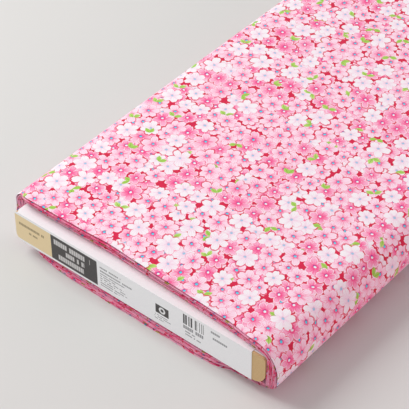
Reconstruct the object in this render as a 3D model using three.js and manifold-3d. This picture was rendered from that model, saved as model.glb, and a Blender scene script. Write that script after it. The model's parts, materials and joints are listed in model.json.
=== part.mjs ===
// A bolt of quilting cotton: folded cloth wound on a flat hollow board.
// Millimetres. +X across the board, +Y along it from the label end to the far end, +Z up.
// The bolt lies on its underside, and the origin is the bottom centre of its box.

import * as THREE from 'three';
import * as BufferGeometryUtils from 'three/addons/utils/BufferGeometryUtils.js';
import Module from 'manifold-3d';

// ---- driving dimensions ----

// Board
const boardWidth = 203.2;
const boardThickness = 23.3;
const boardLength = 584.2;
const wall = 1.6; // kraft board that the tube, caps and stiffeners are folded from
const facing = 0.3; // white paper glued round the tube
const boardCorner = 2.4; // outside radius of the upper long edges; the cloth's turns follow it too
const farLowCorner = 5; // outside radii of the lower long edges, which are pressed rounder
const nearLowCorner = 10;
const glueGap = 0.1; // between pieces that lie on each other
const seat = 0.3; // between pieces that push into each other

// Glued lap of the tube, on its underside
const lapStart = -38;
const lapWidth = 26;
const lapSlope = 5;

// End caps
const tongueLength = 22;
const tongueInset = 14; // from the board's long edge to the tongue's corner

// Folded stiffeners inside the tube
const foldPitch = 5.5;
const railFolds = 5;
const ribFolds = 6;
const stiffenerSetback = 6; // behind the caps' tongues

// Label
const labelThickness = 0.2;
const labelFold = 14; // how far it runs over each face of the board
const bareEnd = 10; // kraft left bare beside the label

// Cloth
const foldedWidth = 559; // 1118 mm wide cloth, folded once along its length
const foldedThickness = 0.46; // two layers of cotton
const layGap = 0.14; // air between one turn and the next
const turns = 14; // whole turns under the last one
const boardFit = 0.5; // between the board and the first turn
const setback = 6.5; // cloth's folded edge behind the board's label end
const cutEnd = 60; // distance of the inner cut end from the board's centre line

// Loose end: the last stretch of cloth, which lifts
const hingeX = 62;
const looseEndTurn = 10; // degrees that it wraps under the lower corner
const hingeGap = 0.3;

const arcSteps = 6; // flats in each quarter of a rounded corner

// ---- places that follow ----

const turnPitch = foldedThickness + layGap;
const lowerStack = boardFit + foldedThickness + (turns - 1) * turnPitch;
const boardBottom = lowerStack;
const boardTop = boardBottom + boardThickness;
const cornerLow = boardBottom + boardCorner;
const cornerHigh = boardTop - boardCorner;
const labelStand = glueGap + labelThickness;
const overallLength = boardLength + labelStand;
const labelEnd = -overallLength / 2 + labelStand;
const farEnd = labelEnd + boardLength;
const tubeFront = labelEnd + wall + glueGap;
const tubeBack = farEnd - wall - glueGap;
const halfWidth = boardWidth / 2;
const edgeX = halfWidth - boardCorner; // where the board's upper face starts to round over
const wallInset = facing + glueGap; // from the board's outside to the kraft wall
const innerInset = wallInset + wall; // from the board's outside to the tube's inside

// ---- helpers ----

// Points of an arc, from one angle to another in degrees, without its first point.
function arc(x, z, radius, from, to) {
  const steps = Math.max(1, Math.round(Math.abs(to - from) / 90 * arcSteps));
  const points = [];
  for (let i = 1; i <= steps; i += 1) {
    const angle = THREE.MathUtils.degToRad(from + (to - from) * i / steps);
    points.push([x + radius * Math.cos(angle), z + radius * Math.sin(angle)]);
  }
  return points;
}

// Closed outline of a strip of even thickness that follows a path.
function stripOutline(path, thickness) {
  const left = [];
  const right = [];
  const last = path.length - 1;
  const points = path.map(([x, z]) => new THREE.Vector2(x, z));
  points.forEach((point, i) => {
    const into = points[Math.max(i, 1)].clone().sub(points[Math.max(i, 1) - 1]).normalize();
    const next = Math.min(i, last - 1);
    const out = points[next + 1].clone().sub(points[next]).normalize();
    const along = into.clone().add(out).normalize();
    const reach = thickness / 2 / along.dot(out);
    const side = new THREE.Vector2(-along.y, along.x).multiplyScalar(reach);
    left.push(point.clone().add(side));
    right.push(point.clone().sub(side));
  });
  return new THREE.Shape([...left, ...right.reverse()]);
}

// The way round the board's long edges and upper face, from the far end of its lower face to the
// near end, at a given depth inside the board's outside.
function roundTheBoard(depth) {
  const radius = boardCorner - depth;
  return [
    [farLowCorner - halfWidth, boardBottom + depth],
    ...arc(farLowCorner - halfWidth, boardBottom + farLowCorner, farLowCorner - depth, 270, 180),
    [-edgeX - radius, cornerHigh],
    ...arc(-edgeX, cornerHigh, radius, 180, 90),
    [edgeX, boardTop - depth],
    ...arc(edgeX, cornerHigh, radius, 90, 0),
    [edgeX + radius, boardBottom + nearLowCorner],
    ...arc(halfWidth - nearLowCorner, boardBottom + nearLowCorner, nearLowCorner - depth, 0, -90),
  ];
}

function outline(path) {
  return new THREE.Shape(path.map(([x, z]) => new THREE.Vector2(x, z)));
}

// A section drawn in X and Z, run along Y.
function alongY(shape, from, to) {
  const geometry = new THREE.ExtrudeGeometry(shape, { depth: to - from, bevelEnabled: false });
  geometry.rotateX(Math.PI / 2);
  geometry.translate(0, to, 0);
  return geometry;
}

// A section drawn in Y and Z, run along X.
function alongX(shape, from, to) {
  const geometry = new THREE.ExtrudeGeometry(shape, { depth: to - from, bevelEnabled: false });
  geometry.rotateX(Math.PI / 2);
  geometry.rotateZ(Math.PI / 2);
  geometry.translate(from, 0, 0);
  return geometry;
}

function box(left, right, front, back, bottom, top) {
  const geometry = new THREE.BoxGeometry(right - left, back - front, top - bottom);
  geometry.translate((left + right) / 2, (front + back) / 2, (bottom + top) / 2);
  return geometry;
}

const wasm = await Module();
wasm.setup();

function solid(geometry) {
  const plain = geometry.clone();
  plain.deleteAttribute('normal');
  plain.deleteAttribute('uv');
  const merged = BufferGeometryUtils.mergeVertices(plain, 1e-4);
  return new wasm.Manifold(new wasm.Mesh({
    numProp: 3,
    vertProperties: new Float32Array(merged.attributes.position.array),
    triVerts: new Uint32Array(merged.index.array),
  }));
}

function join(...geometries) {
  const [first, ...others] = geometries.map(solid);
  const joined = others.reduce((whole, part) => whole.add(part), first);
  const mesh = joined.getMesh();
  const geometry = new THREE.BufferGeometry();
  geometry.setAttribute('position', new THREE.BufferAttribute(mesh.vertProperties, 3));
  geometry.setIndex(new THREE.BufferAttribute(mesh.triVerts, 1));
  geometry.computeVertexNormals();
  return geometry;
}

// ---- board ----

// One kraft sheet folded into a flat tube. Its two edges meet on the underside, where the
// last stretch steps inward and is glued over the first.
function boardShell() {
  const middle = wallInset + wall / 2;
  const outerZ = boardBottom + middle;
  const innerZ = outerZ + wall + glueGap;
  const path = [
    [lapStart, outerZ],
    ...roundTheBoard(middle),
    [lapStart + lapSlope + wall, outerZ],
    [lapStart + wall, innerZ],
    [lapStart - lapWidth, innerZ],
  ];
  return alongY(stripOutline(path, wall), tubeFront, tubeBack);
}

// White paper glued round the tube, butted on the underside.
function whiteFacing() {
  const path = [
    [lapStart, boardBottom + facing / 2],
    ...roundTheBoard(facing / 2),
    [lapStart + wall, boardBottom + facing / 2],
  ];
  return alongY(stripOutline(path, facing), tubeFront, tubeBack);
}

// Kraft panel over the tube's open end, with two tongues tucked inside.
// inward is 1 at the label end and -1 at the far end.
function endCap(face, inward) {
  const ends = (near, far) => (inward > 0 ? [face + near, face + far] : [face - far, face - near]);
  const panel = alongY(outline(roundTheBoard(0)), ...ends(0, wall));
  const reach = halfWidth - tongueInset;
  const upper = boardTop - innerInset - seat;
  const lower = boardBottom + innerInset + glueGap + wall + seat;
  const tongueEnds = ends(wall / 2, wall + tongueLength);
  const upperTongue = box(-reach, reach, ...tongueEnds, upper - wall, upper);
  const lowerTongue = box(-reach, reach, ...tongueEnds, lower, lower + wall);
  return join(panel, upperTongue, lowerTongue);
}

// A kraft strip folded back and forth, so that its panels stand between the two faces.
function stiffener(firstX, folds) {
  const low = boardBottom + innerInset + seat + wall / 2;
  const high = boardTop - innerInset - seat - wall / 2;
  const path = [];
  for (let i = 0; i < folds; i += 1) {
    const x = firstX + i * foldPitch;
    const upward = i % 2 === 0;
    path.push([x, upward ? low : high], [x, upward ? high : low]);
  }
  const inset = tongueLength + stiffenerSetback;
  return alongY(stripOutline(path, wall), tubeFront + inset, tubeBack - inset);
}

const railWidth = (railFolds - 1) * foldPitch;
const railOuter = (corner) => halfWidth - corner - wall / 2;
const ribWidth = (ribFolds - 1) * foldPitch;

// Paper folded over the label end and on to both faces of the board. Only its front runs on to
// the board's long edge, where it is cut to the end's rounded outline.
function endLabel() {
  const away = glueGap + labelThickness / 2;
  const front = labelEnd - away;
  const path = [
    [labelEnd + labelFold, boardTop + away],
    [front, boardTop + away],
    [front, boardBottom - away],
    [labelEnd + labelFold, boardBottom - away],
  ];
  const folded = alongX(stripOutline(path, labelThickness), farLowCorner - halfWidth, halfWidth - bareEnd);
  const upperPath = [...path.slice(0, 2), [front, (boardBottom + boardTop) / 2]];
  const upperEdge = alongX(stripOutline(upperPath, labelThickness), -edgeX, 0);
  const farHalf = roundTheBoard(0).filter(([x]) => x < 0);
  const cutRound = alongY(
    outline([[0, boardBottom], ...farHalf, [0, boardTop]]),
    labelEnd - labelStand,
    labelEnd - glueGap,
  );
  return join(folded, upperEdge, cutRound);
}

// ---- cloth ----

// Distance from the board's outside to the middle of a turn.
const turnOffset = (turn) => boardFit + foldedThickness / 2 + turn * turnPitch;

// Over the top from the far long side, then down the near side as far as the lower corner.
function topAndNearSide(turn, startX) {
  const radius = boardCorner + turnOffset(turn);
  return [
    [startX, cornerHigh + radius],
    [edgeX, cornerHigh + radius],
    ...arc(edgeX, cornerHigh, radius, 90, 0),
    [edgeX + radius, cornerLow],
  ];
}

// Under the board and up the far side, where the cloth steps out to its next turn.
function undersideAndFarSide(turn) {
  const radius = boardCorner + turnOffset(turn);
  const nextRadius = radius + turnPitch;
  return [
    ...arc(edgeX, cornerLow, radius, 0, -90),
    [-edgeX, cornerLow - radius],
    ...arc(-edgeX, cornerLow, radius, 270, 180),
    [-edgeX - nextRadius, cornerHigh],
    ...arc(-edgeX, cornerHigh, nextRadius, 180, 90),
  ];
}

// The folded cloth as one spiral, from its inner cut end to the loose end's hinge.
function woundCloth() {
  const path = [...topAndNearSide(0, -cutEnd), ...undersideAndFarSide(0)];
  for (let turn = 1; turn < turns; turn += 1) {
    const [, ...onward] = topAndNearSide(turn, -edgeX);
    path.push(...onward, ...undersideAndFarSide(turn));
  }
  path.push([hingeX - hingeGap / 2, cornerHigh + boardCorner + turnOffset(turns)]);
  return alongY(stripOutline(path, foldedThickness), clothFront, clothBack);
}

// The last stretch: over the near long edge and down to the raw cut edge.
function looseEnd() {
  const radius = boardCorner + turnOffset(turns);
  const path = [
    ...topAndNearSide(turns, hingeX + hingeGap / 2),
    ...arc(edgeX, cornerLow, radius, 0, -looseEndTurn),
  ];
  return alongY(stripOutline(path, foldedThickness), clothFront, clothBack);
}

const clothFront = labelEnd + setback;
const clothBack = clothFront + foldedWidth;

// ---- assembly ----

const whitePaper = { color: 0xe9e9ea, roughness: 0.55, metalness: 0 };
const kraft = { color: 0xcdaf7d, roughness: 0.85, metalness: 0 };
const labelPaper = { color: 0xf0f0f1, roughness: 0.45, metalness: 0 };
const printedCotton = { color: 0xf29bbb, roughness: 0.9, metalness: 0 };

function piece(name, geometry, finish) {
  const mesh = new THREE.Mesh(geometry, new THREE.MeshStandardMaterial(finish));
  mesh.name = name;
  return mesh;
}

const board = new THREE.Group();
board.add(piece('board_shell', boardShell(), kraft));
board.add(piece('white_facing', whiteFacing(), whitePaper));
board.add(piece('front_end_cap', endCap(labelEnd, 1), kraft));
board.add(piece('rear_end_cap', endCap(farEnd, -1), kraft));
board.add(piece('left_edge_rail', stiffener(-railOuter(farLowCorner), railFolds), kraft));
board.add(piece('right_edge_rail', stiffener(railOuter(nearLowCorner) - railWidth, railFolds), kraft));
board.add(piece('centre_rib', stiffener(-ribWidth / 2, ribFolds), kraft));
board.add(piece('end_label', endLabel(), labelPaper));

const cloth = new THREE.Group();
cloth.add(piece('cloth_wound_turns', woundCloth(), printedCotton));
cloth.add(piece('cloth_loose_end', looseEnd(), printedCotton));

const bolt = new THREE.Group();
bolt.add(board, cloth);

export default bolt;
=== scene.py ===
import json
import math
import random

import bpy
import numpy as np
from mathutils import Matrix, Vector


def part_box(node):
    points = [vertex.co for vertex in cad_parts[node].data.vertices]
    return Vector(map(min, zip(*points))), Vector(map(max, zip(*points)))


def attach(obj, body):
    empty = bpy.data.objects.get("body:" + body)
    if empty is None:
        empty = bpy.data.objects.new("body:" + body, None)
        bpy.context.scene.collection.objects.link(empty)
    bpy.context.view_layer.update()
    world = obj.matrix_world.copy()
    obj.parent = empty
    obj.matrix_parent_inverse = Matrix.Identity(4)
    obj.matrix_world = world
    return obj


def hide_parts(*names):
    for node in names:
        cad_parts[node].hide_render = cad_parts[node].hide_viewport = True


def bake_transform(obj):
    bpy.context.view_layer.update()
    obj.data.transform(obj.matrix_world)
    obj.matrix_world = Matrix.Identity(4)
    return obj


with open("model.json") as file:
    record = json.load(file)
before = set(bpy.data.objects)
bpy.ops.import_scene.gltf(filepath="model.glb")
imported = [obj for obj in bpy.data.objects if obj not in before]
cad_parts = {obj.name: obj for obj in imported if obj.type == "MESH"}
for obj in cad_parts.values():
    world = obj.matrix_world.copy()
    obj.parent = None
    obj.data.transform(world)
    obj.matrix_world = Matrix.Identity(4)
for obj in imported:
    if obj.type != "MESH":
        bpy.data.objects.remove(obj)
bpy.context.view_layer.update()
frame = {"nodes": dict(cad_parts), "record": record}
mm = 0.001


# A screen colour, 0 to 255, as the linear colour that a socket takes.
def paint(red, green, blue):
    levels = [c / 255 for c in (red, green, blue)]
    linear = [c / 12.92 if c < 0.04045 else ((c + 0.055) / 1.055) ** 2.4 for c in levels]
    return (*linear, 1.0)


def feed(tree, socket, value):
    if isinstance(value, bpy.types.NodeSocket):
        tree.links.new(value, socket)
    else:
        socket.default_value = value


def calc(tree, operation, *values):
    node = tree.nodes.new("ShaderNodeMath")
    node.operation = operation
    for socket, value in zip(node.inputs, values):
        feed(tree, socket, value)
    return node.outputs[0]


def times(tree, first, second):
    return calc(tree, "MULTIPLY", first, second)


def plus(tree, first, second):
    return calc(tree, "ADD", first, second)


def minus(tree, first, second):
    return calc(tree, "SUBTRACT", first, second)


def divided(tree, first, second):
    return calc(tree, "DIVIDE", first, second)


def vec(tree, operation, *values):
    node = tree.nodes.new("ShaderNodeVectorMath")
    node.operation = operation
    for socket, value in zip(node.inputs, values):
        feed(tree, socket, value)
    return node.outputs["Value" if operation in ("LENGTH", "DOT_PRODUCT") else "Vector"]


def scaled(tree, vector, factor):
    node = tree.nodes.new("ShaderNodeVectorMath")
    node.operation = "SCALE"
    feed(tree, node.inputs[0], vector)
    feed(tree, node.inputs["Scale"], factor)
    return node.outputs["Vector"]


def parts(tree, vector):
    node = tree.nodes.new("ShaderNodeSeparateXYZ")
    feed(tree, node.inputs[0], vector)
    return node.outputs[0], node.outputs[1], node.outputs[2]


# A vector's X and Y.
def flat(tree, vector):
    x = vec(tree, "DOT_PRODUCT", vector, (1.0, 0.0, 0.0))
    y = vec(tree, "DOT_PRODUCT", vector, (0.0, 1.0, 0.0))
    return x, y


def channels(tree, colour):
    node = tree.nodes.new("ShaderNodeSeparateColor")
    feed(tree, node.inputs[0], colour)
    return node.outputs[0], node.outputs[1], node.outputs[2]


def together(tree, x=0.0, y=0.0, z=0.0):
    node = tree.nodes.new("ShaderNodeCombineXYZ")
    for socket, value in zip(node.inputs, (x, y, z)):
        feed(tree, socket, value)
    return node.outputs[0]


# Smooth step from start, at low, to end, at high.
def ramp(tree, value, low, high, start=0.0, end=1.0):
    node = tree.nodes.new("ShaderNodeMapRange")
    node.interpolation_type = "SMOOTHSTEP"
    for socket, given in zip(node.inputs, (value, low, high, start, end)):
        feed(tree, socket, given)
    return node.outputs[0]


def mixed(tree, factor, first, second, mode="MIX"):
    node = tree.nodes.new("ShaderNodeMix")
    node.data_type = "RGBA"
    node.blend_type = mode
    feed(tree, node.inputs[0], factor)
    feed(tree, node.inputs[6], first)
    feed(tree, node.inputs[7], second)
    return node.outputs[2]


def noiseNode(tree, vector, scale, detail):
    node = tree.nodes.new("ShaderNodeTexNoise")
    feed(tree, node.inputs["Vector"], vector)
    node.inputs["Scale"].default_value = scale
    node.inputs["Detail"].default_value = detail
    return node


def noise(tree, vector, scale, detail=2.0):
    return noiseNode(tree, vector, scale, detail).outputs["Fac"]


# A vector that wanders either side of zero.
def wandering(tree, vector, scale, amount, detail=1.0):
    x, y, z = channels(tree, noiseNode(tree, vector, scale, detail).outputs["Color"])
    return scaled(tree, vec(tree, "SUBTRACT", together(tree, x, y, z), (0.5, 0.5, 0.5)), amount)


# Four random numbers from 0 to 1 for each place. The fourth follows the first.
def dice(tree, vector):
    node = tree.nodes.new("ShaderNodeTexWhiteNoise")
    node.noise_dimensions = "3D"
    feed(tree, node.inputs["Vector"], vector)
    return (*channels(tree, node.outputs["Color"]), node.outputs["Value"])


def newGroup(name, takes, gives):
    tree = bpy.data.node_groups.new(name, "ShaderNodeTree")
    kinds = {"vector": "NodeSocketVector", "colour": "NodeSocketColor", "number": "NodeSocketFloat"}
    for label, kind in takes.items():
        tree.interface.new_socket(label, in_out="INPUT", socket_type=kinds[kind])
    for label, kind in gives.items():
        tree.interface.new_socket(label, in_out="OUTPUT", socket_type=kinds[kind])
    given = tree.nodes.new("NodeGroupInput").outputs
    result = tree.nodes.new("NodeGroupOutput").inputs
    return tree, given, result


def placed(tree, group, **values):
    node = tree.nodes.new("ShaderNodeGroup")
    node.node_tree = group
    for label, value in values.items():
        feed(tree, node.inputs[label], value)
    return node.outputs


def newMaterial(name, finish=None):
    material = bpy.data.materials.new(name)
    material.use_nodes = True
    tree = material.node_tree
    shader = tree.nodes["Principled BSDF"]
    for socket, value in (finish or {}).items():
        shader.inputs[socket].default_value = value
    return material, tree, shader


# The piece's own coordinates, in mm.
def objectPlace(tree):
    return scaled(tree, tree.nodes.new("ShaderNodeTexCoord").outputs["Object"], 1000.0)


def bumped(tree, shader, height, strength, distance):
    node = tree.nodes.new("ShaderNodeBump")
    node.inputs["Strength"].default_value = strength
    node.inputs["Distance"].default_value = distance
    feed(tree, node.inputs["Height"], height)
    tree.links.new(node.outputs[0], shader.inputs["Normal"])


printColours = {
    "ground": paint(224, 36, 82),
    "groundDark": paint(204, 24, 66),
    "palePetal": paint(253, 222, 238),
    "paleHeart": paint(250, 152, 192),
    "hotPetal": paint(252, 178, 210),
    "hotHeart": paint(248, 86, 152),
    "whitePetal": paint(248, 244, 249),
    "whiteHeart": paint(248, 230, 244),
    "pinkStreak": paint(242, 62, 132),
    "whiteStreak": paint(242, 196, 220),
    "petalRim": paint(255, 236, 248),
    "eye": paint(84, 214, 236),
    "eyeWhite": paint(240, 250, 255),
    "whiteEye": paint(160, 202, 230),
    "eyeShade": paint(100, 60, 156),
    "leaf": paint(166, 212, 92),
    "leafTip": paint(212, 238, 146),
    "leafVein": paint(112, 172, 40),
    "threadShade": (0.35, 0.10, 0.16, 1.0),
    # painted shade and pink bounce light for the folded edges of the covered turns
    "paintedShadeAmongTurns": paint(238, 128, 168),
    "selvedge": paint(246, 240, 240),
    "back": paint(250, 226, 234),
}

blossomShape = {
    "smallest": 0.86,  # share of the layer's size
    "growth": 0.26,  # what the largest adds to it
    "sixPetals": 0.8,  # share of blossoms; the others have five
    "petalMiddle": 0.57,  # from here to the disc, shares of the blossom's radius
    "petalLength": 0.41,  # half of it
    "petalWidth": 0.32,  # half of it
    "unevenLength": 0.05,
    "unevenWidth": 0.03,
    "notchPlace": 0.46,  # beyond the petal's middle
    "notch": 0.12,
    "disc": 0.40,  # where the petals are one
    "flush": 0.56,  # how far the flush reaches
    "flushBetween": -0.16,  # added along the middle of a petal, and taken off between two
    "flushHot": 0.28,  # how much more on a hot pink blossom
    "ribs": 20.0,
    "heart": 2.2,  # mm
    "eye": 1.0,  # mm
    "eyeShade": (-0.55, 0.3, 0.0),  # mm, where the shade's middle lies
    "blueEyes": 0.68,  # share of blossoms
}


# A grid's squares: the place counted in squares, its square, and that square's own seed.
def gridSquares(tree, given):
    shifted = vec(tree, "ADD", given["Place"], given["Shift"])
    inGrid = scaled(tree, shifted, divided(tree, 1.0, given["Grid"]))
    square = vec(tree, "FLOOR", inGrid)
    seeded = vec(tree, "ADD", square, together(tree, z=given["Seed"]))
    return inGrid, square, seeded


# A roll of the dice as a length either side of zero.
def strayed(tree, roll, reach):
    return times(tree, minus(tree, times(tree, roll, 2.0), 1.0), reach)


# X and Y after a random turn.
def spun(tree, offset, roll):
    spin = tree.nodes.new("ShaderNodeVectorRotate")
    spin.rotation_type = "Z_AXIS"
    feed(tree, spin.inputs["Vector"], offset)
    feed(tree, spin.inputs["Angle"], times(tree, roll, math.tau))
    return flat(tree, spin.outputs[0])


# One blossom in each square of a grid, drawn over the colour under it. Lengths are in mm.
def blossomGroup():
    tree, given, result = newGroup(
        "blossomLayer",
        {"Place": "vector", "Under": "colour", "Grid": "number", "Shift": "vector", "Seed": "number",
         "Size": "number", "Roam": "number", "White share": "number", "Share": "number"},
        {"Colour": "colour"},
    )
    colours, shape = printColours, blossomShape
    grid = given["Grid"]
    inGrid, square, seeded = gridSquares(tree, given)
    rollX, rollY, rollSize, rollTurn = dice(tree, seeded)
    rollTone, rollShow, rollWhite, rollEye = dice(tree, vec(tree, "ADD", seeded, (0.0, 0.0, 0.37)))

    fromCorner = scaled(tree, vec(tree, "SUBTRACT", inGrid, square), grid)
    half = times(tree, grid, 0.5)
    centreX = plus(tree, half, strayed(tree, rollX, given["Roam"]))
    centreY = plus(tree, half, strayed(tree, rollY, given["Roam"]))
    offset = vec(tree, "SUBTRACT", fromCorner, together(tree, centreX, centreY))
    grown = plus(tree, shape["smallest"], times(tree, rollSize, shape["growth"]))
    radius = times(tree, given["Size"], grown)

    x, y = spun(tree, offset, rollTurn)
    distance = vec(tree, "LENGTH", offset)
    r = divided(tree, distance, radius)
    angle = calc(tree, "ARCTAN2", y, x)
    count = minus(tree, 6.0, calc(tree, "GREATER_THAN", rollSize, shape["sixPetals"]))
    sector = divided(tree, math.tau, count)
    petal = times(tree, calc(tree, "ROUND", divided(tree, angle, sector)), sector)
    fold = minus(tree, angle, petal)
    along = times(tree, r, calc(tree, "COSINE", fold))
    across = times(tree, r, calc(tree, "SINE", fold))

    # petal: a long lobe with a notch at its tip, a little larger or smaller than its neighbours
    turned = plus(tree, petal, times(tree, rollTone, math.tau))
    uneven = times(tree, calc(tree, "COSINE", turned), shape["unevenLength"])
    swell = times(tree, calc(tree, "SINE", times(tree, turned, 2.0)), shape["unevenWidth"])
    wide = plus(tree, shape["petalWidth"], swell)
    lobeCentre = plus(tree, shape["petalMiddle"], uneven)
    alongLobe = divided(tree, minus(tree, along, lobeCentre), shape["petalLength"])
    outOfLobe = together(tree, alongLobe, divided(tree, across, wide))
    lobe = times(tree, minus(tree, vec(tree, "LENGTH", outOfLobe), 1.0), 0.35)
    tip = plus(tree, lobeCentre, shape["notchPlace"])
    fromTip = vec(tree, "LENGTH", together(tree, minus(tree, along, tip), across))
    notch = minus(tree, shape["notch"], fromTip)
    disc = minus(tree, r, shape["disc"])
    edge = calc(tree, "MINIMUM", calc(tree, "MAXIMUM", lobe, notch), disc)
    inside = times(tree, edge, times(tree, radius, -1.0))  # mm inside the outline
    shown = calc(tree, "LESS_THAN", rollShow, given["Share"])
    mask = times(tree, ramp(tree, inside, -0.07, 0.07), shown)

    # petals: a flush from the middle, which reaches further between the petals and to one side
    white = calc(tree, "LESS_THAN", rollWhite, given["White share"])
    tone = ramp(tree, rollTone, 0.44, 0.82)
    pinkOuter = mixed(tree, tone, colours["palePetal"], colours["hotPetal"])
    outer = mixed(tree, white, pinkOuter, colours["whitePetal"])
    pinkInner = mixed(tree, tone, colours["paleHeart"], colours["hotHeart"])
    inner = mixed(tree, white, pinkInner, colours["whiteHeart"])
    streak = mixed(tree, white, colours["pinkStreak"], colours["whiteStreak"])
    star = times(tree, calc(tree, "COSINE", times(tree, fold, count)), shape["flushBetween"])
    starred = plus(tree, shape["flush"], star)
    reach = plus(tree, starred, times(tree, tone, shape["flushHot"]))
    aside = plus(tree, r, times(tree, divided(tree, x, radius), 0.2))
    petals = mixed(tree, ramp(tree, aside, 0.05, reach), inner, outer)

    # streaks from the middle, dark creases between the petals, a paler rim
    ribs = ramp(tree, calc(tree, "COSINE", times(tree, fold, shape["ribs"])), 0.3, 1.0)
    ribs = times(tree, ribs, ramp(tree, aside, plus(tree, reach, 0.4), 0.2, 0.0, 0.6))
    petals = mixed(tree, ribs, petals, streak)
    crease = ramp(tree, divided(tree, calc(tree, "ABSOLUTE", fold), sector), 0.37, 0.49)
    crease = times(tree, crease, ramp(tree, r, 1.0, 0.3, 0.0, 0.85))
    petals = mixed(tree, crease, petals, streak)
    rim = ramp(tree, inside, 0.75, 0.25, 0.0, 0.85)
    petals = mixed(tree, rim, petals, mixed(tree, white, colours["petalRim"], colours["whitePetal"]))
    heart = ramp(tree, distance, shape["heart"], 0.8)
    heart = times(tree, heart, minus(tree, 0.85, times(tree, white, 0.5)))
    petals = mixed(tree, heart, petals, streak)

    # eye: a bright dot with a violet shade to one side
    beside = vec(tree, "LENGTH", vec(tree, "SUBTRACT", offset, shape["eyeShade"]))
    shade = ramp(tree, beside, 1.1, 0.75)
    shade = times(tree, shade, minus(tree, 0.8, times(tree, white, 0.6)))
    petals = mixed(tree, shade, petals, colours["eyeShade"])
    pale = calc(tree, "GREATER_THAN", rollEye, shape["blueEyes"])
    eye = mixed(tree, pale, colours["eye"], colours["eyeWhite"])
    eye = mixed(tree, white, eye, colours["whiteEye"])
    petals = mixed(tree, ramp(tree, distance, shape["eye"], 0.7), petals, eye)

    # a soft pink shade round the blossom, on what lies under it
    halo = times(tree, ramp(tree, inside, -0.7, -0.05, 0.0, 0.5), shown)
    under = mixed(tree, halo, given["Under"], colours["hotHeart"], "MULTIPLY")
    # and a crimson rim along part of its outline, where the ground shows
    bare = times(tree, ramp(tree, calc(tree, "COSINE", angle), 0.5, 0.85), shown)
    bare = times(tree, bare, ramp(tree, inside, -1.1, -0.7, 0.0, 0.75))
    under = mixed(tree, bare, under, colours["ground"])
    feed(tree, result["Colour"], mixed(tree, mask, under, petals))
    return tree


# A pair of leaves in each square of a grid. Lengths are in mm.
def leafGroup():
    tree, given, result = newGroup(
        "leafLayer",
        {"Place": "vector", "Under": "colour", "Grid": "number", "Shift": "vector", "Seed": "number",
         "Length": "number", "Share": "number"},
        {"Colour": "colour"},
    )
    colours = printColours
    grid, length = given["Grid"], given["Length"]
    inGrid, square, seeded = gridSquares(tree, given)
    rollX, rollY, rollTurn, rollTone = dice(tree, seeded)
    rollShow, rollOpen, _, _ = dice(tree, vec(tree, "ADD", seeded, (0.0, 0.0, 0.53)))
    roam = minus(tree, times(tree, grid, 0.5), length)
    inSquare = vec(tree, "SUBTRACT", inGrid, square)
    local = scaled(tree, vec(tree, "SUBTRACT", inSquare, (0.5, 0.5, 0.0)), grid)
    shiftX = strayed(tree, rollX, roam)
    shiftY = strayed(tree, rollY, roam)
    offset = vec(tree, "SUBTRACT", local, together(tree, shiftX, shiftY))
    x, y = spun(tree, offset, rollTurn)
    opened = plus(tree, 0.5, times(tree, rollOpen, 0.7))  # half the angle between the two
    y = calc(tree, "ABSOLUTE", y)
    cosine, sine = calc(tree, "COSINE", opened), calc(tree, "SINE", opened)
    along = plus(tree, times(tree, x, cosine), times(tree, y, sine))
    across = minus(tree, times(tree, y, cosine), times(tree, x, sine))
    t = divided(tree, along, length)
    bulge = calc(tree, "SINE", times(tree, t, math.pi))
    leafWidth = times(tree, bulge, times(tree, length, 0.29))  # half of it
    inside = minus(tree, leafWidth, calc(tree, "ABSOLUTE", across))
    within = times(tree, calc(tree, "GREATER_THAN", t, 0.0), calc(tree, "LESS_THAN", t, 1.0))
    shown = times(tree, calc(tree, "LESS_THAN", rollShow, given["Share"]), within)
    mask = times(tree, ramp(tree, inside, -0.06, 0.08), shown)
    fresh = times(tree, rollTone, ramp(tree, t, 0.2, 1.0))
    green = mixed(tree, fresh, colours["leaf"], colours["leafTip"])
    vein = ramp(tree, calc(tree, "ABSOLUTE", across), 0.28, 0.08, 0.0, 0.7)
    green = mixed(tree, vein, green, colours["leafVein"])
    green = mixed(tree, ramp(tree, inside, 0.35, 0.0, 0.0, 0.5), green, colours["leafTip"])
    feed(tree, result["Colour"], mixed(tree, mask, given["Under"], green))
    return tree


# Plain weave: over and under threads as a height and a slight shade. Lengths are in mm.
def weaveGroup():
    tree, given, result = newGroup(
        "plainWeave", {"Place": "vector", "Pitch": "number"}, {"Height": "number", "Shade": "number"}
    )
    wander = wandering(tree, given["Place"], 0.6, 0.25, 2.0)
    wandered = vec(tree, "ADD", given["Place"], wander)
    u, v = flat(tree, scaled(tree, wandered, divided(tree, math.pi, given["Pitch"])))
    warp = calc(tree, "ABSOLUTE", calc(tree, "SINE", u))
    weft = calc(tree, "ABSOLUTE", calc(tree, "SINE", v))
    over = times(tree, calc(tree, "SINE", times(tree, u, 0.5)), calc(tree, "SINE", times(tree, v, 0.5)))
    top = calc(tree, "GREATER_THAN", over, 0.0)
    height = plus(tree, times(tree, warp, top), times(tree, weft, minus(tree, 1.0, top)))
    slub = noise(tree, vec(tree, "MULTIPLY", given["Place"], (0.35, 6.0, 1.0)), 1.0)
    feed(tree, result["Height"], plus(tree, times(tree, height, 0.8), times(tree, slub, 0.4)))
    feed(tree, result["Shade"], times(tree, height, slub))
    return tree


printLayout = {
    "pitch": 11.5,  # mm between neighbouring blossoms
    "lowPitch": 1.42,  # squares of the two lowest layers, in pitches
    "size": 7.8,  # mm, a blossom's radius
    "roam": 2.1,  # mm that a blossom strays from its place
    "drift": 6.0,  # mm, slow wander of the whole pattern
    "shake": 0.9,  # mm, unsteadiness of the drawn outlines
    "leafGrid": 24.0,  # mm
    "leafLength": 5.8,  # mm
    "leafShare": 0.85,  # share of squares that have leaves
    "threadPitch": 0.36,  # mm
    "printEdge": 548.0,  # mm from the fold, where the white selvedge starts
    "backFaint": 0.68,
}

cottonFinish = {
    "Roughness": 0.82,
    "Specular IOR Level": 0.22,
    "Sheen Weight": 0.12,
    "Sheen Roughness": 0.5,
}


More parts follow.
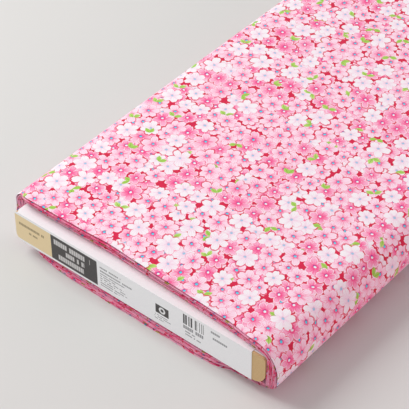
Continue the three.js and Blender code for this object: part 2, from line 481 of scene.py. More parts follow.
def printedCotton():
    material, tree, shader = newMaterial("floralCotton", cottonFinish)
    blossom, leaves, weave = blossomGroup(), leafGroup(), weaveGroup()
    colours, layout = printColours, printLayout
    attribute = tree.nodes.new("ShaderNodeAttribute")
    attribute.attribute_name = "clothPlace"
    place = scaled(tree, attribute.outputs["Vector"], 1000.0)
    drift = wandering(tree, place, 0.028, layout["drift"])
    shake = wandering(tree, place, 0.35, layout["shake"])
    drifted = vec(tree, "ADD", vec(tree, "ADD", place, drift), shake)
    wandered = vec(tree, "MULTIPLY", drifted, (1.0, 1.0, 0.0))

    mottled = noise(tree, place, 0.25)
    colour = mixed(tree, mottled, colours["groundDark"], colours["ground"])
    pitch = layout["pitch"]
    low, even = layout["lowPitch"] * pitch, 2 * pitch
    # from the lowest layer to the top one: grid, shift, size, share of white
    layers = [
        (low, (3.1, 7.7), 0.80, 0.05),
        (low, (10.4, 1.2), 0.80, 0.15),
        (even, (0.0, 0.0), 0.90, 0.10),
        (even, (pitch, pitch), 0.92, 0.25),
        (even, (pitch, 0.0), 0.95, 0.35),
        (even, (0.0, pitch), 1.0, 0.55),
    ]
    for number, (grid, shift, scale, whiteShare) in enumerate(layers):
        if number == len(layers) - 1:  # leaves lie under the last layer only
            colour = placed(
                tree, leaves, Place=wandered, Under=colour, Grid=layout["leafGrid"], Shift=(5.0, 9.0, 0.0),
                Seed=31.0, Length=layout["leafLength"], Share=layout["leafShare"],
            )["Colour"]
        size = layout["size"] * scale
        colour = placed(tree, blossom, **{
            "Place": wandered, "Under": colour, "Grid": grid, "Shift": (*shift, 0.0),
            "Seed": float(number + 3), "Size": size, "Roam": min(layout["roam"], grid / 2 - size * 1.15),
            "White share": whiteShare, "Share": 1.0,
        })["Colour"]

    weaving = placed(tree, weave, Place=place, Pitch=layout["threadPitch"])
    threads = times(tree, weaving["Shade"], 0.14)
    colour = mixed(tree, threads, colour, colours["threadShade"], "MULTIPLY")
    _, v = flat(tree, place)
    selvedge = ramp(tree, calc(tree, "ABSOLUTE", v), layout["printEdge"], layout["printEdge"] + 0.6)
    colour = mixed(tree, selvedge, colour, colours["selvedge"])
    # painted shade and painted pink bounce light: near the folded edges of the covered turns the colour is
    # multiplied towards deep pink, for light that goes from turn to turn
    covered = vec(tree, "DOT_PRODUCT", place, (0.0, 0.0, 1.0))
    paintedShadeAmongTurns = times(tree, covered, ramp(tree, calc(tree, "ABSOLUTE", v), 9.0, 2.0))
    colour = mixed(tree, times(tree, paintedShadeAmongTurns, 0.7), colour, colours["paintedShadeAmongTurns"], "MULTIPLY")
    # the back of the cloth shows the print faintly
    back = tree.nodes.new("ShaderNodeNewGeometry").outputs["Backfacing"]
    faint = mixed(tree, layout["backFaint"], colour, colours["back"])
    feed(tree, shader.inputs["Base Color"], mixed(tree, back, colour, faint))
    bumped(tree, shader, weaving["Height"], 0.35, 0.12 * mm)
    return material


kraft = {
    "dark": paint(188, 152, 104),
    "light": paint(222, 192, 146),
    "cloud": paint(200, 166, 116),
    "speck": paint(150, 112, 70),
    "roughness": (0.9, 0.78),
    "fibreDepth": 0.2 * mm,
}


def kraftBoard():
    material, tree, shader = newMaterial("kraftBoard")
    place = objectPlace(tree)
    fibres = noise(tree, vec(tree, "MULTIPLY", place, (0.5, 2.5, 2.5)), 1.6, 6.0)
    cloud = noise(tree, place, 0.06, 3.0)
    specks = ramp(tree, noise(tree, place, 2.6, 2.0), 0.66, 0.74, 0.0, 0.55)
    colour = mixed(tree, fibres, kraft["dark"], kraft["light"])
    colour = mixed(tree, ramp(tree, cloud, 0.3, 0.7, 0.0, 0.35), colour, kraft["cloud"])
    colour = mixed(tree, specks, colour, kraft["speck"])
    feed(tree, shader.inputs["Base Color"], colour)
    feed(tree, shader.inputs["Roughness"], ramp(tree, fibres, 0.2, 0.8, *kraft["roughness"]))
    bumped(tree, shader, fibres, 0.4, kraft["fibreDepth"])
    return material


facing = {
    "dark": paint(226, 226, 228),
    "light": paint(246, 246, 247),
    "flute": paint(206, 204, 202),
    "flutePitch": 6.5,  # mm between the board's flutes, which show through faintly
    "roughness": (0.62, 0.5),
    "fluteDepth": 0.2 * mm,
}


def whiteFacing():
    material, tree, shader = newMaterial("whiteFacing")
    place = objectPlace(tree)
    flutes = calc(tree, "SINE", times(tree, parts(tree, place)[0], math.tau / facing["flutePitch"]))
    fibres = noise(tree, place, 1.1, 5.0)
    colour = mixed(tree, fibres, facing["dark"], facing["light"])
    colour = mixed(tree, ramp(tree, flutes, -1.0, 1.0, 0.0, 0.12), colour, facing["flute"])
    feed(tree, shader.inputs["Base Color"], colour)
    feed(tree, shader.inputs["Roughness"], ramp(tree, fibres, 0.2, 0.8, *facing["roughness"]))
    bumped(tree, shader, plus(tree, flutes, times(tree, fibres, 0.6)), 0.2, facing["fluteDepth"])
    return material


# A mask that is 1 inside a rectangle of X and Z. Lengths are in mm.
def blockGroup():
    tree, given, result = newGroup(
        "printedBlock",
        {"Place": "vector", "Left": "number", "Right": "number", "Bottom": "number", "Top": "number"},
        {"Mask": "number"},
    )
    x, _, z = parts(tree, given["Place"])
    sides = calc(tree, "MINIMUM", minus(tree, x, given["Left"]), minus(tree, given["Right"], x))
    ends = calc(tree, "MINIMUM", minus(tree, z, given["Bottom"]), minus(tree, given["Top"], z))
    feed(tree, result["Mask"], ramp(tree, calc(tree, "MINIMUM", sides, ends), -0.08, 0.08))
    return tree


# Rows of short bars that stand for lines of writing, in a rectangle of X and Z. Lengths are in mm.
def greekedGroup(block):
    tree, given, result = newGroup(
        "greekedLines",
        {"Place": "vector", "Left": "number", "Right": "number", "Bottom": "number", "Top": "number",
         "Rows": "number", "Height": "number", "Bar": "number", "Seed": "number"},
        {"Mask": "number"},
    )
    x, _, z = parts(tree, given["Place"])
    frameMask = placed(tree, block, Place=given["Place"], Left=given["Left"], Right=given["Right"],
                       Bottom=given["Bottom"], Top=given["Top"])["Mask"]
    tall = minus(tree, given["Top"], given["Bottom"])
    inRows = times(tree, divided(tree, minus(tree, z, given["Bottom"]), tall), given["Rows"])
    row = calc(tree, "FLOOR", inRows)
    level = calc(tree, "ABSOLUTE", minus(tree, minus(tree, inRows, row), 0.5))
    inLine = ramp(tree, level, times(tree, given["Height"], 0.56), times(tree, given["Height"], 0.44))
    along = divided(tree, minus(tree, x, given["Left"]), given["Bar"])
    along = plus(tree, along, times(tree, row, 0.37))
    bar = calc(tree, "FLOOR", along)
    gap, _, _, _ = dice(tree, together(tree, bar, row, given["Seed"]))
    within = minus(tree, along, bar)
    inBar = times(tree, calc(tree, "GREATER_THAN", within, 0.16), calc(tree, "GREATER_THAN", gap, 0.14))
    _, length, _, _ = dice(tree, together(tree, 3.0, row, given["Seed"]))
    wide = minus(tree, given["Right"], given["Left"])
    reach = plus(tree, given["Left"], times(tree, wide, ramp(tree, length, 0.0, 1.0, 0.62, 1.0)))
    mask = times(tree, times(tree, frameMask, inLine), times(tree, inBar, calc(tree, "LESS_THAN", x, reach)))
    feed(tree, result["Mask"], mask)
    return tree


# Print on the label's face: left and right in mm from the board's middle, bottom and top as shares
# of the label's height. Lines also have a count of rows, a row's inked share and a bar's length.
labelPrint = {
    "band": (-120.0, -70.3, 0.07, 0.915),
    "panel": (-70.3, -31.0, 0.07, 0.915),
    "badge": (17.0, 27.5, 0.39, 0.69),
    "code": (38.8, 55.3, 0.57, 0.91),
    "bandLines": [(-98.5, -76.0, 0.58, 0.70, 1, 0.75, 1.3), (-90.0, -82.5, 0.40, 0.50, 1, 0.7, 1.1)],
    "panelLines": [
        (-68.0, -34.0, 0.60, 0.84, 1, 0.74, 1.9),
        (-58.0, -40.0, 0.37, 0.59, 1, 0.72, 1.9),
        (-66.5, -33.0, 0.13, 0.36, 1, 0.74, 1.9),
    ],
    "greyLines": [
        (-28.5, -1.0, 0.60, 0.84, 2, 0.44, 1.3),
        (-28.5, -6.0, 0.12, 0.60, 6, 0.46, 1.0),
        (16.0, 29.0, 0.14, 0.35, 3, 0.45, 0.9),
        (38.8, 55.0, 0.40, 0.53, 1, 0.9, 1.6),
        (40.5, 53.0, 0.18, 0.37, 2, 0.5, 1.1),
        (60.5, 68.5, 0.80, 0.89, 1, 0.8, 1.4),
        (60.5, 77.5, 0.60, 0.69, 1, 0.8, 1.4),
    ],
}


labelColours = {
    "paperDark": paint(232, 232, 235),
    "paperLight": paint(246, 246, 248),
    "bandDark": paint(228, 204, 158),
    "bandLight": paint(236, 214, 170),
    "blackDark": paint(48, 44, 46),
    "blackLight": paint(64, 60, 61),
    "bandLines": paint(120, 100, 66),
    "panelLines": paint(214, 212, 212),
    "greyLines": paint(88, 88, 94),
    "ring": paint(238, 238, 240),
    "stripe": paint(50, 48, 52),
}
lineInk = {"bandLines": 0.75, "panelLines": 0.85, "greyLines": 0.75}
badgeRing = {"radius": 1.9, "halfLine": (0.75, 0.6)}  # mm
stripeWidth = 0.42  # mm
labelFinish = {"Coat Weight": 0.12, "Coat Roughness": 0.3}


def labelPaper():
    material, tree, shader = newMaterial("labelPaper", labelFinish)
    colours = labelColours
    place = objectPlace(tree)
    _, y, _ = parts(tree, place)
    low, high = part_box("end_label")
    bottom, tall = low.z * 1000, (high.z - low.z) * 1000
    face = calc(tree, "LESS_THAN", y, low.y * 1000 + 0.25)
    block = blockGroup()
    greeked = greekedGroup(block)

    def edges(left, right, lower, upper):
        return {"Left": left, "Right": right, "Bottom": bottom + lower * tall, "Top": bottom + upper * tall}

    def blockMask(size):
        return times(tree, placed(tree, block, Place=place, **edges(*size))["Mask"], face)

    def lineMask(size, seed):
        rows, height, bar = size[4:]
        mask = placed(tree, greeked, Place=place, **edges(*size[:4]), Rows=float(rows), Height=height,
                      Bar=bar, Seed=float(seed))
        return times(tree, mask["Mask"], face)

    fibres = noise(tree, place, 1.4, 4.0)
    colour = mixed(tree, fibres, colours["paperDark"], colours["paperLight"])
    band = blockMask(labelPrint["band"])
    colour = mixed(tree, band, colour, mixed(tree, fibres, colours["bandDark"], colours["bandLight"]))
    black = mixed(tree, fibres, colours["blackDark"], colours["blackLight"])
    colour = mixed(tree, blockMask(labelPrint["panel"]), colour, black)
    for name, seed in (("bandLines", 11), ("panelLines", 21), ("greyLines", 41)):
        for number, size in enumerate(labelPrint[name]):
            lines = times(tree, lineMask(size, seed + number), lineInk[name])
            colour = mixed(tree, lines, colour, colours[name])

    # badge: a dark square with a plain pale ring
    colour = mixed(tree, blockMask(labelPrint["badge"]), colour, black)
    left, right, lower, upper = labelPrint["badge"]
    middle = ((left + right) / 2, 0.0, bottom + (lower + upper) / 2 * tall)
    across = vec(tree, "MULTIPLY", vec(tree, "SUBTRACT", place, middle), (1.0, 0.0, 1.0))
    away = minus(tree, vec(tree, "LENGTH", across), badgeRing["radius"])
    ring = ramp(tree, calc(tree, "ABSOLUTE", away), *badgeRing["halfLine"])
    colour = mixed(tree, times(tree, times(tree, ring, face), 0.9), colour, colours["ring"])

    # stripes of uneven width, as on a price code
    x, _, _ = parts(tree, place)
    stripe = calc(tree, "FLOOR", divided(tree, x, stripeWidth))
    roll, _, _, _ = dice(tree, together(tree, stripe, 0.0, 9.0))
    stripes = times(tree, blockMask(labelPrint["code"]), calc(tree, "GREATER_THAN", roll, 0.45))
    colour = mixed(tree, stripes, colour, colours["stripe"])

    feed(tree, shader.inputs["Base Color"], colour)
    feed(tree, shader.inputs["Roughness"], ramp(tree, fibres, 0.2, 0.8, 0.48, 0.36))
    bumped(tree, shader, fibres, 0.12, 0.1 * mm)
    return material


cloth = {
    "turns": 14,  # whole turns under the last one
    "folded": 0.34 * mm,  # two layers, pressed
    "foldLoop": 0.25 * mm,  # half the height of the loop at the folded edge
    "foldSettles": 4 * mm,  # how far behind the fold the two layers lie close
    "pitch": 0.60 * mm,
    "fit": 0.70 * mm,  # board to the middle of the first turn
    "boardCorner": 2.4 * mm,
    "farCorner": 13.5 * mm,
    "nearCorner": 19.4 * mm,  # the last turn rounds the near edge loosely
    "looseEndTurn": 10,  # degrees round the lower near corner
    "innerCut": -60 * mm,  # X of the inner cut end, on top of the board
    "split": -60 * mm,  # X, on the underside, where the last turn's own mesh starts
    "seed": 7,
}

# How far behind the board's end the folded edge lies, in mm, at even steps along each stretch.
# The first list is the innermost turn's, the second the outermost one's.
foldedEdge = {
    "top": ([11.4, 10.2, 9.3, 8.7, 8.2, 7.4, 6.0, 4.2, 2.4], [6.3, 6.5, 7.1, 8.1, 7.0, 6.0, 5.3, 4.3, 1.4]),
    "nearTop": ([2.4, 1.0], [1.4, 0.4]),
    "nearSide": ([1.0, 0.6], [0.4, 0.2]),
    "nearLow": ([0.6, 2.2], [0.2, 5.2]),
    "underside": (
        [2.2, 3.0, 3.4, 3.6, 3.8, 4.2, 4.6, 5.0, 5.4, 5.8, 6.4, 7.4, 9.4],
        [5.2, 4.6, 0.4, -0.6, -0.2, -0.8, -0.5, -0.9, -0.3, -0.4, 0.3, 2.6, 8.0],
    ),
    "farLow": ([9.4, 10.0], [8.0, 9.5]),
    "farSide": ([10.0, 11.5], [9.5, 10.0]),
    "farTop": ([11.5, 11.6, 11.4], [10.0, 9.0, 6.3]),
}
# How much closer than even spacing the inner turns lie, so that the outermost stands off them.
closeness = {
    "top": [0.06, 0.05, 0.05, 0.06, 0.07],
    "nearTop": [0.07, 0.09],
    "nearSide": [0.09, 0.10],
    "nearLow": [0.10, 0.14],
    "underside": [0.14, 0.08, 0.03, 0.0, 0.0],
    "farLow": [0.0, 0.0],
    "farSide": [0.0, 0.04],
    "farTop": [0.04, 0.06],
}
# The folded edge lies further back on some turns: mm, against the number of turns over them.
drawnBack = (
    [0.0, 1.0, 2.0, 3.0, 5.0, 6.0, 7.0, 9.0, 10.0, 11.0],
    [0.0, 2.8, 0.5, 0.0, 0.2, 1.9, 0.3, 0.0, 1.2, 0.0],
)
# Each turn steps out to the next one over the far side.
steppedOut = {"farSide": lambda f: f, "farTop": lambda f: 1.0}
# The last turn stops at the lower near corner, so one turn fewer lies over the stretches after it.
lastTurnGone = {
    "nearLow": lambda f: f,
    "underside": lambda f: 1.0,
    "farLow": lambda f: 1.0,
    "farSide": lambda f: 1.0 - f,
}
# How unevenly the turns lie. A wave is its size and its pace round the board.
unevenness = {
    "turnEdge": 0.45,  # mm, folded edge
    "turnHeight": 0.16,  # turns
    "turnBack": 0.8,  # mm, selvedge
    "longWave": (0.35, 2.13),  # mm, folded edge of the covered turns
    "shortWave": (0.15, 7.3),  # mm, folded edge
    "drawnWave": (0.25, 1.37),  # share of drawnBack
    "backWave": (0.5, 3.17),  # mm, selvedge
}

tubeLow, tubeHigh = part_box("white_facing")
capLow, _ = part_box("front_end_cap")
clothLow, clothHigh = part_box("cloth_wound_turns")
boardEnd = capLow.y
halfWidth = tubeHigh.x
boardBottom, boardTop = tubeLow.z, tubeHigh.z
foldedWidth = clothHigh.y - clothLow.y


# The eight stretches of a rounded rectangle round the board, offset from its outside.
# Each is a function that gives X and Z at a fraction from 0 to 1.
def roundedOutline(offset, farCorner, nearCorner):
    left, right = -halfWidth - offset, halfWidth + offset
    low, high = boardBottom - offset, boardTop + offset

    def line(start, end):
        return lambda f: (start[0] + (end[0] - start[0]) * f, start[1] + (end[1] - start[1]) * f)

    def corner(x, z, radius, start, end):
        def point(f):
            angle = math.radians(start + (end - start) * f)
            return x + radius * math.cos(angle), z + radius * math.sin(angle)

        return point

    return {
        "top": line((left + farCorner, high), (right - nearCorner, high)),
        "nearTop": corner(right - nearCorner, high - nearCorner, nearCorner, 90, 0),
        "nearSide": line((right, high - nearCorner), (right, low + nearCorner)),
        "nearLow": corner(right - nearCorner, low + nearCorner, nearCorner, 0, -90),
        "underside": line((right - nearCorner, low), (left + farCorner, low)),
        "farLow": corner(left + farCorner, low + farCorner, farCorner, 270, 180),
        "farSide": line((left, low + farCorner), (left, high - farCorner)),
        "farTop": corner(left + farCorner, high - farCorner, farCorner, 180, 90),
    }


firstCorner = cloth["boardCorner"] + cloth["fit"]
firstOutline = roundedOutline(cloth["fit"], firstCorner, firstCorner)
lastOffset = cloth["fit"] + cloth["turns"] * cloth["pitch"]
lastOutline = roundedOutline(lastOffset, cloth["farCorner"], cloth["nearCorner"])


# A smooth curve through evenly spaced values, at a fraction from 0 to 1.
def between(values, f):
    spot = f * (len(values) - 1)
    before = min(int(spot), len(values) - 2)
    part = spot - before
    return values[before] + (values[before + 1] - values[before]) * part * part * (3 - 2 * part)


def wave(name, around):
    size, pace = unevenness[name]
    return size * math.sin(pace * around)


# Points of the folded cloth's middle line from one (turn, stretch, fraction) to another.
def windingPath(first, last, steps):
    rng = random.Random(cloth["seed"])
    turns = cloth["turns"]
    numbers = range(turns + 2)
    strays = [rng.gauss(0, unevenness["turnEdge"]) for _ in numbers]
    nudges = [rng.uniform(-unevenness["turnHeight"], unevenness["turnHeight"]) for _ in numbers]
    backs = [rng.gauss(0, unevenness["turnBack"]) for _ in numbers]
    nudges[0] = 0
    names = list(firstOutline)
    start = (first[0], names.index(first[1]), first[2])
    end = (last[0], names.index(last[1]), last[2])
    places = [
        (turn, number, i / steps[name])
        for turn in range(start[0], end[0] + 1)
        for number, name in enumerate(names)
        for i in range(steps[name] + 1)
        if i < steps[name] or (turn, number, 1.0) == end
    ]
    rows = []
    for turn, number, f in places:
        if (turn, number, f) < start or (turn, number, f) > end:
            continue
        name = names[number]
        wound = turn + (steppedOut[name](f) if name in steppedOut else 0.0)
        outermost = turns - (lastTurnGone[name](f) if name in lastTurnGone else 0.0)
        over = max(0.0, outermost - wound)  # turns that lie over this one
        covered = min(1.0, over)
        around = (turn + (number + f) / len(names)) * math.tau
        share = (wound + np.interp(wound, numbers, nudges) * covered) / turns
        share *= 1 - between(closeness[name], f) * covered
        ax, az = firstOutline[name](f)
        bx, bz = lastOutline[name](f)
        room = math.hypot(bx - ax, bz - az) / (turns * cloth["pitch"])
        inner, outer = (between(edges, f) for edges in foldedEdge[name])
        deep = 1 - min(1.0, wound / outermost)
        edge = outer + (inner - outer) * deep**3  # only the innermost turns lie far back
        edge += covered * (np.interp(wound, numbers, strays) + wave("longWave", around))
        edge += wave("shortWave", around)
        edge += np.interp(over, *drawnBack) * (0.75 + wave("drawnWave", around))
        back = np.interp(wound, numbers, backs) + wave("backWave", around)
        rows.append({
            "x": ax + (bx - ax) * share,
            "z": az + (bz - az) * share,
            "front": boardEnd + edge * mm,
            "back": clothHigh.y + back * mm,
            "room": min(1.0, room),
        })
    return rows


def addObject(name, data):
    made = bpy.data.objects.new(name, data)
    bpy.context.collection.objects.link(made)
    return made


def storeValues(mesh, name, kind, values):
    attribute = mesh.attributes.new(name, kind, "POINT")
    field = "vector" if kind == "FLOAT_VECTOR" else "value"
    attribute.data.foreach_set(field, np.asarray(values, np.float32).ravel())


# The path as a chain of vertices that carries what the sweep needs.
def pathObject(name, rows, slackAt):
    points = np.array([(row["x"], 0.0, row["z"]) for row in rows])
    steps = np.linalg.norm(np.diff(points, axis=0), axis=1)
    along = np.concatenate([[0.0], np.cumsum(steps)])
    ahead = np.gradient(points, axis=0)
    ahead /= np.linalg.norm(ahead, axis=1)[:, None]
    outward = np.stack([-ahead[:, 2], np.zeros(len(rows)), ahead[:, 0]], axis=1)
    outward *= np.array([row["room"] for row in rows])[:, None]
    run = np.stack([[row["front"] for row in rows], [row["back"] for row in rows], along], axis=1)
    mesh = bpy.data.meshes.new(name)
    mesh.from_pydata([tuple(p) for p in points], [(i, i + 1) for i in range(len(rows) - 1)], [])
    storeValues(mesh, "outward", "FLOAT_VECTOR", outward)
    storeValues(mesh, "run", "FLOAT_VECTOR", run)
    storeValues(mesh, "slack", "FLOAT", [slackAt(row) for row in rows])
    return addObject(name, mesh), float(along[-1])


# Half of the folded section and its mirror image: (behind the fold, height, place in the cloth).
def foldProfile(name, distances):
    pressed, loop = cloth["folded"] / 2, cloth["foldLoop"]
    half = []
    for distance in distances:
        settle = math.exp(-distance / cloth["foldSettles"])
        height = pressed + (loop - pressed) * settle
        half.append((distance + loop, height, distance + loop * math.pi / 2))
    for angle in (75, 50, 25):
        a = math.radians(angle)
        half.append((loop - loop * math.cos(a), loop * math.sin(a), loop * a))
    points = half + [(0.0, 0.0, 0.0)] + [(a, -h, -v) for a, h, v in reversed(half)]
    mesh = bpy.data.meshes.new(name)
    mesh.from_pydata(points, [(i, i + 1) for i in range(len(points) - 1)], [])
    return addObject(name, mesh)


# A grid laid over the path (rows) and the folded section (columns).
def sweepTree():
    tree = bpy.data.node_groups.new("woundCloth", "GeometryNodeTree")
    inputs = {
        "Geometry": "Geometry", "Section": "Object", "Rows": "Int", "Columns": "Int",
        "Folded width": "Float", "Start": "Float", "Covered": "Float", "Ripple": "Float", "Seed": "Float",
        "Material": "Material",
    }
    for name, kind in inputs.items():
        tree.interface.new_socket(name, in_out="INPUT", socket_type="NodeSocket" + kind)
    tree.interface.new_socket("Geometry", in_out="OUTPUT", socket_type="NodeSocketGeometry")
    given = tree.nodes.new("NodeGroupInput").outputs
    section = tree.nodes.new("GeometryNodeObjectInfo")
    feed(tree, section.inputs["Object"], given["Section"])

    grid = tree.nodes.new("GeometryNodeMeshGrid")
    lastRow = minus(tree, given["Rows"], 1.0)
    lastColumn = minus(tree, given["Columns"], 1.0)
    feed(tree, grid.inputs["Size X"], lastRow)
    feed(tree, grid.inputs["Size Y"], lastColumn)
    feed(tree, grid.inputs["Vertices X"], given["Rows"])
    feed(tree, grid.inputs["Vertices Y"], given["Columns"])
    gridX, gridY, _ = parts(tree, tree.nodes.new("GeometryNodeInputPosition").outputs[0])
    row = calc(tree, "ROUND", plus(tree, gridX, times(tree, lastRow, 0.5)))
    column = calc(tree, "ROUND", plus(tree, gridY, times(tree, lastColumn, 0.5)))

    def sampled(source, index, kind, attribute=None):
        node = tree.nodes.new("GeometryNodeSampleIndex")
        node.data_type = kind
        node.domain = "POINT"
        feed(tree, node.inputs["Geometry"], source)
        feed(tree, node.inputs["Index"], index)
        if attribute:
            named = tree.nodes.new("GeometryNodeInputNamedAttribute")
            named.data_type = kind
            named.inputs["Name"].default_value = attribute
            feed(tree, node.inputs["Value"], named.outputs["Attribute"])
        else:
            feed(tree, node.inputs["Value"], tree.nodes.new("GeometryNodeInputPosition").outputs[0])
        return node.outputs["Value"]

    middle = sampled(given["Geometry"], row, "FLOAT_VECTOR")
    outward = sampled(given["Geometry"], row, "FLOAT_VECTOR", "outward")
    front, back, along = parts(tree, sampled(given["Geometry"], row, "FLOAT_VECTOR", "run"))
    slack = sampled(given["Geometry"], row, "FLOAT", "slack")
    behind, height, across = parts(tree, sampled(section.outputs["Geometry"], column, "FLOAT_VECTOR"))

    rippled = noise(tree, together(tree, along, behind, given["Seed"]), 9.0, 1.5)
    rise = times(tree, times(tree, slack, given["Ripple"]), minus(tree, rippled, 0.5))
    reach = divided(tree, behind, given["Folded width"])
    y = plus(tree, front, times(tree, minus(tree, back, front), reach))
    lifted = vec(tree, "ADD", middle, scaled(tree, outward, plus(tree, height, rise)))
    x, _, z = parts(tree, lifted)
    # the place in the cloth is stored before the grid is bent, because it reads the rows
    store = tree.nodes.new("GeometryNodeStoreNamedAttribute")
    store.data_type = "FLOAT_VECTOR"
    store.domain = "POINT"
    store.inputs["Name"].default_value = "clothPlace"
    fromStart = plus(tree, along, given["Start"])
    feed(tree, store.inputs["Value"], together(tree, fromStart, across, given["Covered"]))
    feed(tree, store.inputs["Geometry"], grid.outputs["Mesh"])
    setPosition = tree.nodes.new("GeometryNodeSetPosition")
    feed(tree, setPosition.inputs["Geometry"], store.outputs[0])
    feed(tree, setPosition.inputs["Position"], together(tree, x, y, z))
    printOut = tree.nodes.new("GeometryNodeFlipFaces")
    feed(tree, printOut.inputs["Mesh"], setPosition.outputs[0])
    smooth = tree.nodes.new("GeometryNodeSetShadeSmooth")
    feed(tree, smooth.inputs["Geometry"], printOut.outputs[0])
    realize = tree.nodes.new("GeometryNodeRealizeInstances")
    feed(tree, realize.inputs["Geometry"], smooth.outputs[0])
    coloured = tree.nodes.new("GeometryNodeSetMaterial")
    feed(tree, coloured.inputs["Geometry"], realize.outputs[0])
    feed(tree, coloured.inputs["Material"], given["Material"])
    feed(tree, tree.nodes.new("NodeGroupOutput").inputs[0], coloured.outputs[0])
    return tree


# What the tree makes of an object, with the tree's inputs set, as a plain mesh.
def withNodes(source, tree, **values):
    modifier = source.modifiers.new(tree.name, "NODES")
    modifier.node_group = tree
    for item in tree.interface.items_tree:
        if item.in_out == "INPUT" and item.name in values:
            modifier[item.identifier] = values[item.name]
    bpy.context.view_layer.update()
    graph = bpy.context.evaluated_depsgraph_get()
    made = source.evaluated_get(graph)
    mesh = bpy.data.meshes.new_from_object(made, preserve_all_data_layers=True, depsgraph=graph)
    source.modifiers.remove(modifier)
    mesh.materials.clear()
    mesh.materials.append(values["Material"])
    return mesh


def sweptCloth(name, rows, distances, start, covered, ripple, slackAt, tree, material):
    path, length = pathObject(name + "_path", rows, slackAt)
    section = foldProfile(name + "_section", distances)
    columns = len(section.data.vertices)
    mesh = withNodes(path, tree, **{
        "Section": section, "Rows": len(rows), "Columns": columns, "Folded width": foldedWidth,
        "Start": start, "Covered": covered, "Ripple": ripple, "Seed": float(cloth["seed"]),
        "Material": material,
    })
    mesh.name = name
    made = addObject(name, mesh)
    for helper in (path, section):
        data = helper.data
        bpy.data.objects.remove(helper)
        bpy.data.meshes.remove(data)
    print(name, len(mesh.vertices), "vertices,", round(length, 3), "m along the cloth")
    return made, length


view = {
    "place": Vector((519.6 * mm, -840.5 * mm, 772.2 * mm)),
    "azimuth": 40.18,  # degrees
    "elevation": 41.93,
    "roll": -0.49,
    "lens": 153.0,  # mm
    "sensor": 36,
}


def makeCamera():
    a, e, roll = (math.radians(view[k]) for k in ("azimuth", "elevation", "roll"))
    back = Vector((math.sin(a) * math.cos(e), -math.cos(a) * math.cos(e), math.sin(e)))
    right = Vector((math.cos(a), math.sin(a), 0))
    up = back.cross(right)
    tiltedRight = right * math.cos(roll) + up * math.sin(roll)
    tiltedUp = up * math.cos(roll) - right * math.sin(roll)
    data = bpy.data.cameras.new("camera")
    data.lens = view["lens"]
    data.sensor_width = view["sensor"]
    data.clip_start, data.clip_end = 0.05, 20
    camera = addObject("camera", data)
    turned = Matrix((tiltedRight, tiltedUp, back)).transposed()
    camera.matrix_world = Matrix.Translation(view["place"]) @ turned.to_4x4()
    bpy.context.scene.camera = camera


studio = {
    "floor": paint(213, 213, 211),
    "floorDark": paint(209, 209, 207),
    "floorReach": 4.0,  # m either way
    "sky": 0.49,  # strength
    "skyColour": (1.0, 0.99, 0.985, 1.0),
    "aim": Vector((0, -0.1, 0)),  # what the lamps point at
    "key": {"energy": 16.1, "size": 0.85, "color": (1.0, 1.0, 0.99)},
    "fill": {"energy": 4.2, "size": 1.4, "color": (1.0, 1.0, 1.0)},
    "side": {"energy": 5.6, "size": 0.9, "color": (1.0, 0.3, 0.46)},
}
lampPlaces = {
    "key": Vector((-1.0, -0.42, 1.1)),
    "fill": Vector((0.25, -1.75, 0.65)),
    "side": Vector((1.25, 0.35, 0.26)),
}


def makeStudio():
    reach = studio["floorReach"]
    corners = [(-reach, -reach, 0), (reach, -reach, 0), (reach, reach, 0), (-reach, reach, 0)]
    mesh = bpy.data.meshes.new("floor")
    mesh.from_pydata(corners, [], [(0, 1, 2, 3)])
    floor = addObject("floor", mesh)
    material, tree, shader = newMaterial("floor", {"Roughness": 0.9, "Specular IOR Level": 0.1})
    place = tree.nodes.new("ShaderNodeTexCoord").outputs["Object"]
    soft = noise(tree, place, 1.5)
    feed(tree, shader.inputs["Base Color"], mixed(tree, soft, studio["floorDark"], studio["floor"]))
    mesh.materials.append(material)

    world = bpy.data.worlds.new("studio")
    bpy.context.scene.world = world
    world.use_nodes = True
    background = world.node_tree.nodes["Background"]
    background.inputs["Color"].default_value = studio["skyColour"]
    background.inputs["Strength"].default_value = studio["sky"]
    for name, place in lampPlaces.items():
        data = bpy.data.lights.new(name, "AREA")
        for field, value in studio[name].items():
            setattr(data, field, value)
        lamp = addObject(name, data)
        lamp.location = place
        lamp.rotation_mode = "QUATERNION"
        lamp.rotation_quaternion = (studio["aim"] - place).to_track_quat("-Z", "Y")
    bpy.context.scene.view_settings.view_transform = "Standard"


makeCamera()
makeStudio()
print("camera, floor and lights are in place")

finishes = {
    "kraft_board": kraftBoard(),
    "white_facing": whiteFacing(),
    "label_paper": labelPaper(),
    "printed_cotton": printedCotton(),
}
for entry in frame["record"]["subparts"]:
    node = frame["nodes"][entry["node"]]
    node.data.materials.clear()
    node.data.materials.append(finishes[entry["material_slot"]])
print("materials are on the board's pieces")


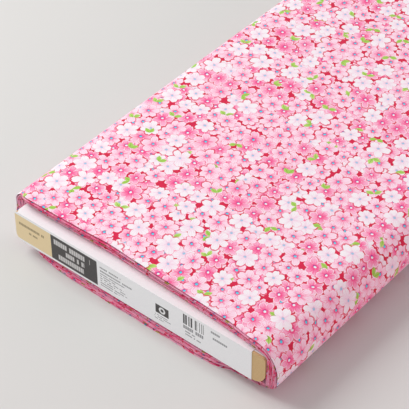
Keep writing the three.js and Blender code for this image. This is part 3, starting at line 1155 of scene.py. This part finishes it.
# How far along a straight stretch an X lies, from 0 to 1.
def shareAt(outline, name, x):
    start, end = outline[name](0)[0], outline[name](1)[0]
    return (x - start) / (end - start)


# Steps along each stretch of a turn, and distances behind the fold, from the selvedges to it.
woundMesh = {
    "steps": {"top": 20, "nearTop": 7, "nearSide": 3, "nearLow": 8,
              "underside": 30, "farLow": 7, "farSide": 3, "farTop": 7},
    "across": [foldedWidth - 3 * mm, 0.42, 0.28, 0.15, 60 * mm, 25 * mm, 10 * mm, 5 * mm, 2.4 * mm,
               1.0 * mm, 0.3 * mm],
}
outerMesh = {
    "steps": {"top": 80, "nearTop": 16, "nearSide": 3, "nearLow": 18,
              "underside": 30, "farLow": 12, "farSide": 4, "farTop": 12},
    "across": [foldedWidth - 1 * mm - i * 6 * mm for i in range(91)]
    + [9 * mm, 6 * mm, 4 * mm, 2.4 * mm, 1.2 * mm, 0.4 * mm],
    "ripple": 1.6 * mm,  # on top of the bolt
    "lowRipple": 0.2,  # share of it beside and under the bolt
    "rippleFrom": boardTop + 6 * mm,
}

sweep = sweepTree()
cotton = finishes["printed_cotton"]
lastTurn = cloth["turns"]
topStart = shareAt(firstOutline, "top", cloth["innerCut"])
split = (lastTurn - 1, "underside", shareAt(lastOutline, "underside", cloth["split"]))
looseEnd = (lastTurn, "nearLow", cloth["looseEndTurn"] / 90)

woundRows = windingPath((0, "top", topStart), split, woundMesh["steps"])
wound, woundLength = sweptCloth(
    "wound_turns", woundRows, woundMesh["across"], 0.0, 1 * mm, 0.0, lambda row: 0.0, sweep, cotton
)


def outerSlack(row):
    return 1.0 if row["z"] > outerMesh["rippleFrom"] else outerMesh["lowRipple"]


outerRows = windingPath(split, looseEnd, outerMesh["steps"])
outer, outerLength = sweptCloth(
    "outer_turn", outerRows, outerMesh["across"], woundLength, 0.0, outerMesh["ripple"], outerSlack,
    sweep, cotton
)
wound.data.name, outer.data.name = "wound_turns", "outer_turn"

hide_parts("cloth_wound_turns")
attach(wound, "cloth_roll")
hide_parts("cloth_loose_end")
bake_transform(outer)
print("cloth is wound,", round(woundLength + outerLength, 2), "m in all")
